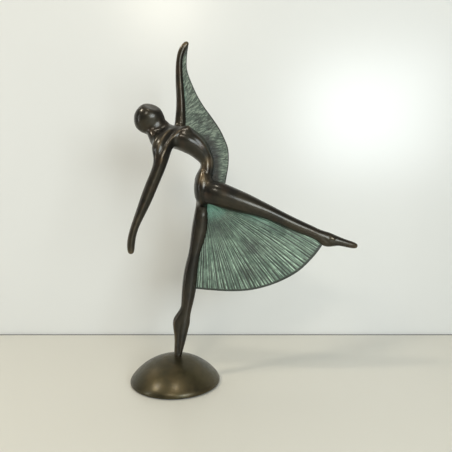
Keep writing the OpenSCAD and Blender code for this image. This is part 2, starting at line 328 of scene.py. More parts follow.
STANDING_LEG = [
    [38.5, 8, 256, 9, 9],
    [38, 9, 243, 9, 10.5],
    [37.4, 9, 230, 10, 10.5],
    [35.3, 8.5, 214, 11.1, 10.5],
    [33.2, 8, 202, 10.9, 10],
    [30.3, 7.5, 189, 9.4, 9.2],
    [27.4, 7, 177, 8, 8.2],
    [24.3, 6.5, 163, 8.2, 8.4],
    [21.9, 6, 151, 9.4, 9],
    [19.6, 5, 130, 9.9, 9],
    [17, 4, 111, 8.6, 8],
    [15.4, 3, 100, 7.2, 7],
    [12.4, 2.5, 92, 8.6, 6.8],
    [8.3, 2, 82.5, 12.4, 6.8],
    [7.8, 1.5, 73, 10.4, 6.4],
    [7, 1, 57, 7.5, 5.8],
    [4.9, 0.5, 45, 6.3, 5.4],
    [3.6, 0, 35, 5, 5.2],
    [3.7, 0, 31, 4.8, 5.2],
]
# Soft ridges along the limbs, as raise_ridges takes them.
LOWERED_ARM_RIDGES = [(-48, 0.15, 20), (-95, 0.15, 20), (75, 0.12, 25), (150, 0.1, 25)]
RAISED_ARM_RIDGES = [(-75, 0.15, 24), (-130, 0.15, 24), (-15, 0.12, 24)]
RAISED_LEG_RIDGES = [(-150, 0.04, 35), (150, 0.04, 35)]
STANDING_LEG_RIDGES = [(-52, 0.14, 28), (-160, 0.06, 25), (75, 0.07, 25)]
# Webs of muscle that carry the neck into the shoulders.
NEAR_WEB = [
    [-29.5, -3, 339, 6, 7],
    [-25, -7, 333, 7.5, 9],
    [-20.5, -13, 325, 10.5, 9],
    [-15, -19, 315, 10.5, 8],
]
FAR_WEB = [
    [-27, 0, 341, 6, 6],
    [-17, 6, 337.5, 9.5, 8],
    [-6, 12, 333.5, 10.2, 8],
    [4, 17, 331, 7.5, 7],
]
# Each casting's limb, and the station at which it is welded to the torso.
WELDS = {
    "head": (HEAD, 1),
    "lowered_arm": (LOWERED_ARM, 4),
    "raised_arm": (RAISED_ARM, 2),
    "raised_leg": (RAISED_LEG, 3),
    "standing_leg": (STANDING_LEG, 2),
}
# Places where two masses meet, and how far their wax is blended: [x, y, z, reach].
BLENDS = [
    [2, -17, 322, 17],
    [6, 16, 333, 14],
    [-15, -11, 332, 16],
    [-23, -9, 335, 10],
    [-20, -14, 322, 13],
    [-12, 8, 332, 14],
    [50, -8, 266, 13],
    [40, 0, 240, 13],
    [38, 10, 240, 12],
    [50, -4, 240, 12],
]

# Runs of the modelling tool: height of the crest (a crease where it is below nought), reach, and the line.
TOOL_RUNS = [
    [
        1.5,
        4.5,
        [[20, -11, 337], [26, -14, 330], [34.5, -16, 323], [41, -14.5, 315], [46, -11, 306], [49.5, -8, 297]],
    ],
    [
        1.5,
        4.5,
        [[20, 11, 337], [26, 14, 330], [34.5, 16, 323], [41, 14.5, 315], [46, 11, 306], [49.5, 8, 297]],
    ],
    [-0.9, 5.0, [[28, -5, 335], [38, -7, 326], [46, -7, 314], [51, -5, 303]]],
    [-0.9, 5.0, [[28, 5, 335], [38, 7, 326], [46, 7, 314], [51, 5, 303]]],
    [1.5, 4.0, [[3, -15, 336], [-6, -24, 328], [-13, -29, 316], [-16, -31, 304], [-17, -33, 294]]],
    [
        1.5,
        4.0,
        [[17, -13, 337], [9, -19, 331], [1.5, -25, 323], [-5, -30, 311], [-10, -33, 299], [-12, -34, 290]],
    ],
    [-1.0, 4.5, [[8, -17, 334], [-1, -25, 325], [-8, -30, 313], [-12, -32, 302]]],
    [-1.2, 6.0, [[-10, -14, 332], [-16, -18, 324], [-19, -22, 314]]],
    [-1.0, 8.0, [[-4, -15, 340], [-11, -14, 337], [-18, -12, 332], [-23, -11, 326]]],
    [-0.8, 5.0, [[-8, 0, 313], [8, 0, 309], [20, 0, 304], [30, 0, 298], [36, 0, 290], [33, 0, 280]]],
    [-1.1, 4.5, [[29, 0, 272], [27, 0, 262], [28, 0, 250], [32, 0, 242]]],
    [-1.0, 5.0, [[40, -13, 287], [45, -18, 278], [50, -23, 268]]],
    [0.8, 3.0, [[0, -3, 86], [-0.5, -3.5, 76], [1.2, -4, 62], [1.5, -4, 48]]],
    [-0.9, 2.6, [[9, -6, 84], [6.5, -6, 72], [6, -6, 60], [5, -5, 46], [4.5, -5, 38]]],
    [0.9, 4.0, [[203, -13, 198], [206, -13.5, 196.5], [209, -13, 195]]],
    [-0.6, 3.0, [[193, -13, 197], [198, -13, 193], [203, -12, 189]]],
]


# The wax skin's mesh, in millimetres, and how many times each smoothing is run.
VOXEL = 0.75
SOFT_PASSES, LIGHT_PASSES, POLISH_PASSES, RISE_PASSES = 200, 4, 5, 40


def join_pieces(name, pieces):
    pick(pieces[0])
    for piece in pieces:
        piece.select_set(True)
    bpy.ops.object.join()
    joined = bpy.context.object
    joined.name = name
    return joined


def apply_modifiers(piece):
    pick(piece)
    for modifier in list(piece.modifiers):
        bpy.ops.object.modifier_apply(modifier=modifier.name)


def points_of(piece):
    places = np.empty(len(piece.data.vertices) * 3)
    piece.data.vertices.foreach_get("co", places)
    return places.reshape(-1, 3)


def move_points(piece, places):
    piece.data.vertices.foreach_set("co", places.ravel())
    piece.data.update()


def normals_of(piece):
    normals = np.empty(len(piece.data.vertices) * 3, np.float32)
    piece.data.vertices.foreach_get("normal", normals)
    return normals.reshape(-1, 3).astype(float)


def store(piece, name, values):
    attribute = piece.data.attributes.get(name) or piece.data.attributes.new(name, "FLOAT", "POINT")
    attribute.data.foreach_set("value", np.asarray(values, np.float32))


def stored(piece, name):
    values = np.empty(len(piece.data.vertices), np.float32)
    piece.data.attributes[name].data.foreach_get("value", values)
    return values.astype(float)


def smoothed(piece, places, passes):
    """A piece's points after each has been drawn towards its neighbours a number of times."""
    ends = np.empty(len(piece.data.edges) * 2, int)
    piece.data.edges.foreach_get("vertices", ends)
    start, end = ends.reshape(-1, 2).T
    count = len(places)
    neighbours = np.maximum(np.bincount(ends, minlength=count), 1)
    places = places.copy()
    for _ in range(passes):
        for axis in range(3):
            line = places[:, axis]
            total = np.bincount(start, line[end], count) + np.bincount(end, line[start], count)
            places[:, axis] = line + 0.5 * (total / neighbours - line)
    return places


def eased(share):
    """A share from 0 to 1 that starts and ends gently."""
    return share**2 * (3 - 2 * share)


def store_rise(piece, passes):
    """Keeps how far each point stands proud of the smoothed surface about it, in millimetres."""
    places = points_of(piece) / MM
    proud = (places - smoothed(piece, places, passes)) * normals_of(piece)
    store(piece, "rise", proud.sum(axis=1))


def blend_joints(skin):
    """Smooths the skin hard where two masses meet, and lightly everywhere else."""
    places = points_of(skin)
    soft, light = smoothed(skin, places, SOFT_PASSES), smoothed(skin, places, LIGHT_PASSES)
    weight = np.zeros(len(places))
    for x, y, z, reach in BLENDS:
        away = np.linalg.norm(places / MM - (x, y, z), axis=1) / reach
        weight = np.maximum(weight, np.clip(1.6 - 1.2 * away, 0, 1))
    weight = eased(weight)[:, None]
    move_points(skin, light + (soft - light) * weight)


def press_face(skin):
    """Presses one calm, shallow oval hollow into the upturned side of the head, and nothing more."""
    half_length, half_width, rim, deep, soft_edge, head_reach = 13.5, 9.5, 11.8, 1.6, 1.3, 26
    centre, facing = np.array([-29.5, -4.5, 351.5]), np.array([0.30, -0.42, 0.86])
    facing /= np.linalg.norm(facing)
    along = np.array([-0.78, 0, 0.62])
    along -= facing * along.dot(facing)
    along /= np.linalg.norm(along)
    across = np.cross(facing, along)
    places = points_of(skin) / MM
    offset = places - centre
    height = offset @ facing
    oval = np.sqrt(((offset @ along) / half_length) ** 2 + ((offset @ across) / half_width) ** 2)
    floor = rim - deep * np.clip(1 - oval**2, 0, 1)
    over = np.clip(height - floor, 0, None)
    near = np.linalg.norm(offset, axis=1) < head_reach
    pressed = over - soft_edge * np.log1p(over / soft_edge)
    shift = np.where(near & (height > 0), -pressed, 0)
    move_points(skin, (places + shift[:, None] * facing) * MM)


def pull_tip(skin, place, facing, reach, height):
    """Draws the wax out to a soft point."""
    facing = np.array(facing) / np.linalg.norm(facing)
    places = points_of(skin) / MM
    offset = places - place
    level = np.abs(offset @ facing)
    aside = np.linalg.norm(offset - (offset @ facing)[:, None] * facing, axis=1)
    share = np.clip(1 - aside / reach, 0, 1) * (level < 1.2 * reach)
    lift = height * (0.5 * share**1.4 + 0.5 * eased(share))
    move_points(skin, (places + lift[:, None] * facing) * MM)


def run_tool(skin, height, reach, line):
    """Draws a crest or a crease along a line in the wax, fading out at its two ends."""
    path = smooth_curve(line, np.linspace(0, len(line) - 1, 16 * len(line)))
    places = points_of(skin) / MM
    close = np.nonzero(((places > path.min(0) - 2 * reach) & (places < path.max(0) + 2 * reach)).all(1))[0]
    offset = (places[close][:, None] - path[None]) * (1, 0.4, 1)
    away = np.linalg.norm(offset, axis=2)
    along = away.argmin(1) / (len(path) - 1)
    share = np.clip(1 - away.min(1) / reach, 0, 1)
    fade = np.clip(np.minimum(along, 1 - along) / 0.15, 0, 1)
    if height < 0:
        share = eased(share)
    lift = np.zeros(len(places))
    lift[close] = height * share**1.3 * fade
    move_points(skin, (places + lift[:, None] * normals_of(skin)) * MM)


def cut_at_weld(skin, stations, index):
    """Cuts the skin across one limb only, at a station, and opens it there."""
    x, y, z, width, depth = stations[index]
    centre = Vector((x, y, z)) * MM
    lean = lean_of(stations, index)
    reach = 1.5 * max(width, depth) * MM
    bpy.ops.mesh.select_all(action="DESELECT")
    bm = bmesh.from_edit_mesh(skin.data)
    for face in bm.faces:
        face.select = (face.calc_center_median() - centre).length < reach
    bmesh.update_edit_mesh(skin.data)
    bpy.ops.mesh.bisect(plane_co=centre, plane_no=(math.sin(lean), 0, math.cos(lean)))
    bpy.ops.mesh.edge_split(type="EDGE")


def chase_weld(piece):
    """Gives a cut casting the shading of the whole skin, as a weld that has been filed flush."""
    skin_face_sides = 8
    kept = np.empty(len(piece.data.vertices) * 3, np.float32)
    piece.data.attributes["skin_normal"].data.foreach_get("vector", kept)
    kept = kept.reshape(-1, 3)
    kept /= np.maximum(np.linalg.norm(kept, axis=1), 1e-6)[:, None]
    corners = np.empty(len(piece.data.loops), int)
    piece.data.loops.foreach_get("vertex_index", corners)
    normals = kept[corners]
    for face in piece.data.polygons:
        if face.loop_total > skin_face_sides:
            normals[face.loop_start : face.loop_start + face.loop_total] = face.normal
    piece.data.normals_split_custom_set(normals.tolist())
    piece.data.attributes.remove(piece.data.attributes["skin_normal"])


def nearest_piece(pieces, place):
    target = np.array(place) * MM
    return min(pieces, key=lambda piece: np.linalg.norm(points_of(piece) - target, axis=1).min())


def wax_figure():
    """The whole figure in wax: the limbs pressed together, blended and polished to one skin."""
    masses = [
        wax_limb("torso_wax", TORSO),
        wax_limb("near_web_wax", NEAR_WEB),
        wax_limb("far_web_wax", FAR_WEB),
        wax_limb("head_wax", HEAD),
        wax_limb("lowered_arm_wax", LOWERED_ARM, LOWERED_ARM_RIDGES),
        wax_limb("raised_arm_wax", RAISED_ARM, RAISED_ARM_RIDGES),
        wax_limb("raised_leg_wax", RAISED_LEG, RAISED_LEG_RIDGES),
        wax_limb("standing_leg_wax", STANDING_LEG, STANDING_LEG_RIDGES),
    ]
    skin = join_pieces("figure_skin", masses)
    skin.data.remesh_voxel_size = VOXEL * MM
    skin.data.remesh_voxel_adaptivity = 0
    bpy.ops.object.voxel_remesh()
    blend_joints(skin)
    press_face(skin)
    for side in (-1, 1):
        pull_tip(skin, [19, 11 * side, 335], [0.40, 0.5 * side, 0.77], 11, 4.2)
    for height, reach, line in TOOL_RUNS:
        run_tool(skin, height, reach, line)
    move_points(skin, smoothed(skin, points_of(skin), POLISH_PASSES))
    store_rise(skin, RISE_PASSES)
    whole = skin.data.attributes.new("skin_normal", "FLOAT_VECTOR", "POINT")
    whole.data.foreach_set("vector", normals_of(skin).astype(np.float32).ravel())
    bpy.ops.object.shade_smooth()
    return skin


def make_figure():
    """The six castings of the figure, cut from one wax skin."""
    skin = wax_figure()
    pick(skin)
    bpy.ops.object.mode_set(mode="EDIT")
    bpy.ops.mesh.select_mode(type="FACE")
    for stations, index in WELDS.values():
        cut_at_weld(skin, stations, index)
    bpy.ops.mesh.select_all(action="SELECT")
    bpy.ops.mesh.separate(type="LOOSE")
    bpy.ops.object.mode_set(mode="OBJECT")
    pieces = list(bpy.context.selected_objects)
    for piece in pieces:
        pick(piece)
        bpy.ops.object.mode_set(mode="EDIT")
        bpy.ops.mesh.select_all(action="SELECT")
        bpy.ops.mesh.fill_holes(sides=0)
        bpy.ops.object.mode_set(mode="OBJECT")
        chase_weld(piece)
    castings = {}
    for name, (stations, _) in WELDS.items():
        castings[name] = nearest_piece(pieces, stations[-1][:3])
    waist = TORSO[5][:3]
    castings["torso"] = nearest_piece(pieces, waist)
    for name, piece in castings.items():
        piece.name = piece.data.name = name + "_cast"
    return castings


# ---- the drapery ----

SKIRT_ROOT = [[40, 8, 240], [50, -10, 244]]
SKIRT_HEM = [
    [19, 4, 128],
    [48, 3, 125.2],
    [78, 1, 124.3],
    [106, -1, 127.2],
    [135.6, -3, 136.7],
    [163.2, -5, 152.4],
    [184.2, -6.5, 174],
    [197, -7, 193],
]
# How far the skirt's upper edge bows towards the raised leg, its wall, and its ridges and stray lines.
SKIRT_BOW = 12
SKIRT_WALL, SKIRT_RELIEF, SKIRT_RIDGES, STRAY_LINES = 2.7, 1.2, 50, 200
SKIRT_GRID, WING_GRID = (560, 76), (120, 360)
WING_INNER = [
    [17, 20.5, 447],
    [10.5, 21, 438],
    [7.5, 22, 423],
    [7.6, 22, 412],
    [8.5, 22, 397],
    [9.2, 22, 381],
    [9.2, 22, 367],
    [10, 20, 352],
    [15, 17, 338],
    [26, 14, 327],
    [36, 11, 316],
    [43, 9, 303],
    [47, 6, 290],
    [46, 2, 276],
    [50, -3, 265],
    [55, -6, 257],
]
WING_OUTER = [
    [19.6, 20, 447.8],
    [17.8, 20.5, 437],
    [16.7, 21, 424],
    [17.8, 21, 412],
    [23.8, 21, 396],
    [30.8, 20, 381],
    [39.3, 19, 367],
    [50.3, 18, 352],
    [60.3, 16, 337],
    [67.1, 14, 323],
    [70.9, 12, 312],
    [72, 9, 300],
    [71.3, 5, 288],
    [69.3, 1, 277],
    [67.1, -4, 265],
    [65.3, -7, 256],
]
# The wing's wall at the body (it is half of that at the free edge), and the strokes on each face.
WING_WALL, WING_RELIEF, WING_STROKES = 3.4, 0.4, 2500
CRISP = math.radians(70)


def skirt_place(round_share, out_share):
    """Points of the skirt's middle: round from the standing leg, and out from the root to the hem."""
    root = np.array(SKIRT_ROOT, float)
    start = root[0] + (root[1] - root[0]) * round_share[..., None]
    end = smooth_curve(SKIRT_HEM, round_share * (len(SKIRT_HEM) - 1))
    places = start + (end - start) * out_share[..., None]
    places[..., 2] += SKIRT_BOW * round_share**4 * 4 * out_share * (1 - out_share)
    return places


def wing_place(across_share, row_share):
    """Points of the wing's middle: across from the body to the free edge, and down from the hand."""
    rows = row_share * (len(WING_INNER) - 1)
    inner, outer = smooth_curve(WING_INNER, rows), smooth_curve(WING_OUTER, rows)
    return inner + (outer - inner) * across_share[..., None]


def wax_sheet(name, columns, rows, place, thickness, edge_share):
    """A sheet of wax with its own coordinates, first and second, kept on its points."""
    wipe_selection()
    bpy.ops.mesh.primitive_grid_add(x_subdivisions=columns, y_subdivisions=rows, size=1, location=(0, 0, 0))
    sheet = bpy.context.object
    sheet.name = sheet.data.name = name
    flat = points_of(sheet)
    first, second = flat[:, 0] + 0.5, flat[:, 1] + 0.5
    sheet.data.vertices.foreach_set("co", (place(first, second) * MM).ravel())
    store(sheet, "first", first)
    store(sheet, "second", second)
    group = sheet.vertex_groups.new(name="thick")
    for index, share in enumerate(edge_share(first, second)):
        group.add([index], float(share), "REPLACE")
    wall = sheet.modifiers.new("wall", "SOLIDIFY")
    wall.thickness = thickness * MM
    wall.offset = 0
    wall.use_even_offset = True
    wall.vertex_group = group.name
    apply_modifiers(sheet)
    sheet.vertex_groups.clear()
    bpy.ops.object.mode_set(mode="EDIT")
    bpy.ops.mesh.select_all(action="SELECT")
    bpy.ops.mesh.normals_make_consistent(inside=False)
    bpy.ops.object.mode_set(mode="OBJECT")
    return sheet


def press_relief(sheet, relief, height):
    """Moves a sheet's points out along its normals by a relief from 0 to 1, and keeps the relief."""
    places, normals = points_of(sheet), normals_of(sheet)
    move_points(sheet, places + normals * (relief * height * MM)[:, None])
    store(sheet, "relief", relief)


def tooled_ridges(draw, first, second, count):
    """Hand-tooled ridges that fan out from the root. Each has its own place, start, width and wander,
    and a narrow groove cut beside it."""
    flank = 0.31
    relief, groove = np.zeros(len(first)), np.zeros(len(first))
    for index in range(count):
        middle = (index + 0.5 + draw.uniform(-0.24, 0.24)) / count
        start = draw.choice([0.0, 0.01, 0.03, 0.06, 0.12, 0.22]) * draw.uniform(0.5, 1.5)
        end = draw.uniform(0.984, 0.999)
        wander = draw.uniform(-0.28, 0.28) / count
        phase, turns = draw.uniform(0, 6.28), draw.uniform(3, 8)
        half_width = draw.uniform(0.24, 0.38) / count
        tall = draw.uniform(0.6, 1.0)
        line = middle + wander * np.sin(second * turns + phase)
        away = np.abs(first - line) / half_width
        crest = np.clip(1 - away, 0, 1)
        fade = np.clip((second - start) / 0.08, 0, 1) * np.clip((end - second) / 0.015, 0, 1)
        beat = draw.uniform(30, 70)
        notch = 1 - 0.45 * np.clip(np.sin(second * beat + phase) - 0.2, 0, 1)
        notch *= 1 - 0.3 * np.clip(np.sin(second * beat * 0.37 + phase * 2), 0, 1)
        relief = np.maximum(relief, crest * fade * tall * notch)
        aside = draw.uniform(0.42, 0.6) / count
        beside = np.abs(first - line - aside) / (draw.uniform(0.18, 0.34) / count)
        groove = np.maximum(groove, np.clip(1 - beside, 0, 1) * fade)
    return np.maximum(relief, flank * (1 - groove))


def fine_lines(draw, first, second, count, tall):
    """Thin stray tool lines between the ridges."""
    half_width = 0.0024
    relief = np.zeros(len(first))
    for _ in range(count):
        middle, start = draw.uniform(0, 1), draw.uniform(0.08, 0.85)
        length = draw.uniform(0.1, 0.4)
        slope = draw.uniform(-0.03, 0.03)
        line = middle + slope * (second - start)
        away = np.abs(first - line) / half_width
        along = np.clip(1 - np.abs((second - start - length / 2) / (length / 2)), 0, 1)
        relief = np.maximum(relief, np.clip(1 - away, 0, 1) * np.minimum(along * 3, 1) * tall)
    return relief * np.clip((0.97 - second) / 0.03, 0, 1)


def make_skirt():
    draw, stray_height, rim_height = random.Random(4), 0.7, 0.6
    sheet = wax_sheet(
        "skirt_fan_cast", *SKIRT_GRID, skirt_place, SKIRT_WALL, lambda first, second: np.ones(len(first))
    )
    first, second = stored(sheet, "first"), stored(sheet, "second")
    near = normals_of(sheet)[:, 1] < 0
    faces = []
    for _ in range(2):
        ridges = tooled_ridges(draw, first, second, SKIRT_RIDGES)
        faces.append(np.maximum(ridges, fine_lines(draw, first, second, STRAY_LINES, stray_height)))
    rim = np.clip((second - 0.988) / 0.008, 0, 1) * rim_height
    press_relief(sheet, np.maximum(np.where(near, *faces), rim), SKIRT_RELIEF)
    pick(sheet)
    bpy.ops.object.shade_smooth_by_angle(angle=CRISP)
    return sheet


def scratch_strokes(draw, places, count):
    """Short strokes scratched across the wing, as a relief that is 1 between strokes."""
    depth = np.zeros(len(places))
    x, z = places[:, 0] / MM, places[:, 2] / MM
    for _ in range(count):
        middle_z = draw.uniform(255, 440)
        middle_x = draw.uniform(8, 75)
        steep = min(max((middle_z - 300) / 100, -0.1), 1)
        angle = math.radians(4 + 54 * steep + draw.gauss(0, 13))
        length = draw.uniform(2.5, 7)
        width = draw.uniform(0.42, 0.7)
        bow = draw.uniform(-0.02, 0.02)
        deep = draw.uniform(0.45, 1)
        near = np.nonzero((np.abs(x - middle_x) < length) & (np.abs(z - middle_z) < length))[0]
        if not len(near):
            continue
        away_x, away_z = x[near] - middle_x, z[near] - middle_z
        along = away_x * math.cos(angle) + away_z * math.sin(angle)
        off = away_z * math.cos(angle) - away_x * math.sin(angle) - bow * along**2
        stroke = np.clip(1 - (off / width) ** 2, 0, 1) * np.clip(1 - (along / length) ** 4, 0, 1)
        depth[near] = np.maximum(depth[near], stroke * deep)
    return 1 - depth


def make_wing():
    draw = random.Random(9)
    sheet = wax_sheet(
        "wing_fan_cast", *WING_GRID, wing_place, WING_WALL, lambda first, second: 1 - 0.5 * first
    )
    places = points_of(sheet)
    near = normals_of(sheet)[:, 1] < 0
    front = scratch_strokes(draw, places, WING_STROKES)
    back = scratch_strokes(draw, places, WING_STROKES)
    first = stored(sheet, "first")
    rim = np.clip((first - 0.95) / 0.03, 0, 1)
    relief = np.maximum(np.where(near, front, back), rim)
    seam = np.clip((0.16 - first) / 0.08, 0, 1) * (stored(sheet, "second") < 0.5)
    level_at_arm = 0.4
    press_relief(sheet, relief + (level_at_arm - relief) * seam, WING_RELIEF)
    pick(sheet)
    bpy.ops.object.shade_smooth_by_angle(angle=CRISP)
    return sheet


# ---- the base ----


def cut_round(piece, centre, radius, bottom, top):
    """Bores a round hole or pocket up through a piece."""
    wipe_selection()
    bpy.ops.mesh.primitive_cylinder_add(
        vertices=64,
        radius=radius * MM,
        depth=(top - bottom) * MM,
        location=(centre[0] * MM, centre[1] * MM, (bottom + top) / 2 * MM),
    )
    drill = bpy.context.object
    cut = piece.modifiers.new("bore", "BOOLEAN")
    cut.operation = "DIFFERENCE"
    cut.object = drill
    cut.solver = "EXACT"
    apply_modifiers(piece)
    bpy.data.objects.remove(drill)


def make_dome():
    """The base: a ball's cap on a short straight band, turned ring by ring."""
    lowest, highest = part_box("base_dome")
    radius = (highest.x - lowest.x) / 2 / MM
    bottom, top = lowest.z / MM, highest.z / MM
    band, edge, steps = 3.4, 1.0, 24
    cap = top - bottom - band
    ball = (radius**2 + cap**2) / (2 * cap)
    rings = [(radius - 0.6, bottom), (radius - 0.15, bottom + 0.4), (radius, bottom + edge)]
    rings += [(radius, bottom + band - edge)]
    widest = math.asin(radius / ball)
    for step in range(1, steps + 1):
        angle = widest * (1 - step / (steps + 0.5))
        rings.append((ball * math.sin(angle), top - ball + ball * math.cos(angle)))
    wipe_selection()
    bpy.ops.mesh.primitive_circle_add(
        vertices=144, radius=1, fill_type="NGON", enter_editmode=True, location=(0, 0, 0)
    )
    dome = bpy.context.object
    dome.name = dome.data.name = "base_dome_cast"
    bpy.ops.mesh.select_all(action="SELECT")
    reach, level = 1.0, 0.0
    for ring_radius, height in rings:
        if level:
            bpy.ops.mesh.extrude_region_move()
        factor = ring_radius * MM / reach
        bpy.ops.transform.resize(value=(factor, factor, 1), center_override=(0, 0, 0))
        bpy.ops.transform.translate(value=(0, 0, height * MM - level))
        reach, level = ring_radius * MM, height * MM
    bpy.ops.mesh.select_all(action="SELECT")
    bpy.ops.mesh.normals_make_consistent(inside=False)
    bpy.ops.object.mode_set(mode="OBJECT")
    stud_axis, pocket_radius, pocket_top, hole_radius = (4, 0), 14, 17, 2.8
    cut_round(dome, stud_axis, pocket_radius, bottom - 1, pocket_top)
    cut_round(dome, stud_axis, hole_radius, bottom - 1, top + 1)
    pick(dome)
    bpy.ops.object.shade_smooth_by_angle(angle=math.radians(35))
    return dome


# ---- finishes ----


def new_group(name, inputs, outputs):
    group = bpy.data.node_groups.new(name, "ShaderNodeTree")
    for label, kind, value in inputs:
        socket = group.interface.new_socket(name=label, in_out="INPUT", socket_type=kind)
        socket.default_value = value
    for label, kind in outputs:
        group.interface.new_socket(name=label, in_out="OUTPUT", socket_type=kind)
    return group, group.nodes.new("NodeGroupInput"), group.nodes.new("NodeGroupOutput")


class Wires:
    """Short names for the nodes that a node tree is wired from."""

    def __init__(self, tree):
        self.tree = tree

    def node(self, kind, **settings):
        node = self.tree.nodes.new(kind)
        for key, value in settings.items():
            setattr(node, key, value)
        return node

    def join(self, value, socket):
        if isinstance(value, bpy.types.NodeSocket):
            self.tree.links.new(value, socket)
        else:
            socket.default_value = value

    def maths(self, operation, a, b=0.0, clamp=False):
        node = self.node("ShaderNodeMath", operation=operation, use_clamp=clamp)
        self.join(a, node.inputs[0])
        self.join(b, node.inputs[1])
        return node.outputs[0]

    def blend(self, share, a, b):
        node = self.node("ShaderNodeMix", data_type="RGBA")
        self.join(share, node.inputs["Factor"])
        self.join(a, node.inputs["A"])
        self.join(b, node.inputs["B"])
        return node.outputs["Result"]

    def spread(self, value, low, high, to_low=0.0, to_high=1.0):
        node = self.node("ShaderNodeMapRange", interpolation_type="SMOOTHSTEP")
        self.join(value, node.inputs["Value"])
        for label, number in (("From Min", low), ("From Max", high), ("To Min", to_low), ("To Max", to_high)):
            self.join(number, node.inputs[label])
        return node.outputs["Result"]

    def noise(self, vector, scale, detail=4.0, roughness=0.55):
        node = self.node("ShaderNodeTexNoise")
        self.join(vector, node.inputs["Vector"])
        self.join(scale, node.inputs["Scale"])
        self.join(detail, node.inputs["Detail"])
        self.join(roughness, node.inputs["Roughness"])
        return node.outputs["Fac"]

    def attribute(self, name):
        return self.node("ShaderNodeAttribute", attribute_name=name).outputs["Fac"]

    def object_coordinates(self):
        return self.node("ShaderNodeTexCoord").outputs["Object"]

    def group(self, tree, **values):
        node = self.node("ShaderNodeGroup")
        node.node_tree = tree
        for label, value in values.items():
            self.join(value, node.inputs[label.replace("_", " ")])
        return node.outputs


def brown_patina_group():
    """Waxed brown patina: clouds of tone, rubbed high points, painted highlights where they are given, dark
    hollows and a faint file grain.
    """
    group, inputs, outputs = new_group(
        "brown_patina",
        [
            ("Dark", "NodeSocketColor", (0.03, 0.022, 0.015, 1)),
            ("Warm", "NodeSocketColor", (0.12, 0.08, 0.045, 1)),
            ("Russet", "NodeSocketColor", (0.05, 0.028, 0.014, 1)),
            ("Rubbed", "NodeSocketColor", (0.4, 0.27, 0.14, 1)),
            ("Rub", "NodeSocketFloat", 0.0),
            ("Rise", "NodeSocketFloat", 0.0),
        ],
        [("Color", "NodeSocketColor"), ("Roughness", "NodeSocketFloat"), ("Height", "NodeSocketFloat")],
    )
    w = Wires(group)
    place = w.object_coordinates()
    cloud = w.spread(w.noise(place, 28.0, 3.0), 0.35, 0.68)
    mottle = w.noise(place, 160.0, 5.0, 0.65)
    grain = w.noise(place, 1100.0, 3.0, 0.7)
    russet = w.spread(w.noise(place, 52.0, 2.0), 0.5, 0.7, 0.0, 0.6)
    base = w.blend(russet, inputs.outputs["Dark"], inputs.outputs["Russet"])
    tone = w.blend(w.maths("MULTIPLY", cloud, 0.8), base, inputs.outputs["Warm"])
    mottled = w.blend(w.spread(mottle, 0.5, 0.75, 0.0, 0.35), tone, inputs.outputs["Warm"])
    high = w.spread(inputs.outputs["Rise"], 0.2, 0.7)
    low = w.spread(inputs.outputs["Rise"], -0.05, -0.5)
    # Real wear lightens the high points, and painted highlights are added on top of it.
    lighter_share = w.maths("ADD", w.maths("MULTIPLY", high, 0.42), inputs.outputs["Rub"], True)
    broken = w.maths("MULTIPLY", lighter_share, w.spread(mottle, 0.3, 0.6, 0.55, 1.0))
    marked = w.blend(broken, mottled, inputs.outputs["Rubbed"])
    shaded = w.blend(w.maths("MULTIPLY", low, 0.6), marked, inputs.outputs["Dark"])
    w.join(shaded, outputs.inputs["Color"])
    rough = w.maths("ADD", w.spread(mottle, 0.3, 0.7, 0.34, 0.50), w.maths("MULTIPLY", broken, -0.08))
    w.join(rough, outputs.inputs["Roughness"])
    height = w.maths("ADD", w.maths("MULTIPLY", mottle, 0.7), w.maths("MULTIPLY", grain, 0.3))
    w.join(height, outputs.inputs["Height"])
    return group


def spot_group():
    """A soft round mask about a place, for the painted highlights on the body and for the places where the
    skirt shows less bloom.
    """
    group, inputs, outputs = new_group(
        "round_spot",
        [("Centre", "NodeSocketVector", (0, 0, 0)), ("Reach", "NodeSocketFloat", 0.01)],
        [("Mask", "NodeSocketFloat")],
    )
    w = Wires(group)
    away = w.node("ShaderNodeVectorMath", operation="DISTANCE")
    w.join(w.object_coordinates(), away.inputs[0])
    w.join(inputs.outputs["Centre"], away.inputs[1])
    share = w.maths("DIVIDE", away.outputs["Value"], inputs.outputs["Reach"])
    w.join(w.spread(share, 1.0, 0.0), outputs.inputs["Mask"])
    return group


def verdigris_group():
    """Green copper bloom that settles on a worked surface: pale on the crests, dark in the grooves."""
    group, inputs, outputs = new_group(
        "verdigris",
        [
            ("Relief", "NodeSocketFloat", 0.5),
            ("Cover", "NodeSocketFloat", 1.0),
            ("Crest", "NodeSocketFloat", 0.45),
            ("Breakup", "NodeSocketFloat", 0.8),
            ("Pale", "NodeSocketColor", (0.3, 0.42, 0.33, 1)),
            ("Deep", "NodeSocketColor", (0.12, 0.2, 0.17, 1)),
            ("Groove", "NodeSocketColor", (0.03, 0.03, 0.025, 1)),
        ],
        [("Color", "NodeSocketColor"), ("Roughness", "NodeSocketFloat"), ("Height", "NodeSocketFloat")],
    )
    w = Wires(group)
    place = w.object_coordinates()
    cloud = w.noise(place, 45.0, 4.0)
    speck = w.noise(place, 420.0, 5.0, 0.7)
    crust = w.noise(place, 1300.0, 4.0, 0.75)
    green = w.blend(w.spread(cloud, 0.38, 0.62, 0.0, 0.25), inputs.outputs["Deep"], inputs.outputs["Pale"])
    broken = w.maths("MULTIPLY", w.maths("SUBTRACT", speck, 0.5), inputs.outputs["Breakup"])
    level = w.maths("ADD", inputs.outputs["Relief"], broken)
    speckled = w.blend(w.spread(level, inputs.outputs["Crest"], 0.92), green, inputs.outputs["Pale"])
    shown = w.maths("MULTIPLY", w.spread(level, 0.05, 0.5), inputs.outputs["Cover"], True)
    w.join(w.blend(shown, inputs.outputs["Groove"], speckled), outputs.inputs["Color"])
    w.join(w.spread(shown, 0.0, 1.0, 0.42, 0.8), outputs.inputs["Roughness"])
    height = w.maths("ADD", w.maths("MULTIPLY", speck, 0.5), w.maths("MULTIPLY", crust, 0.5))
    w.join(height, outputs.inputs["Height"])
    return group


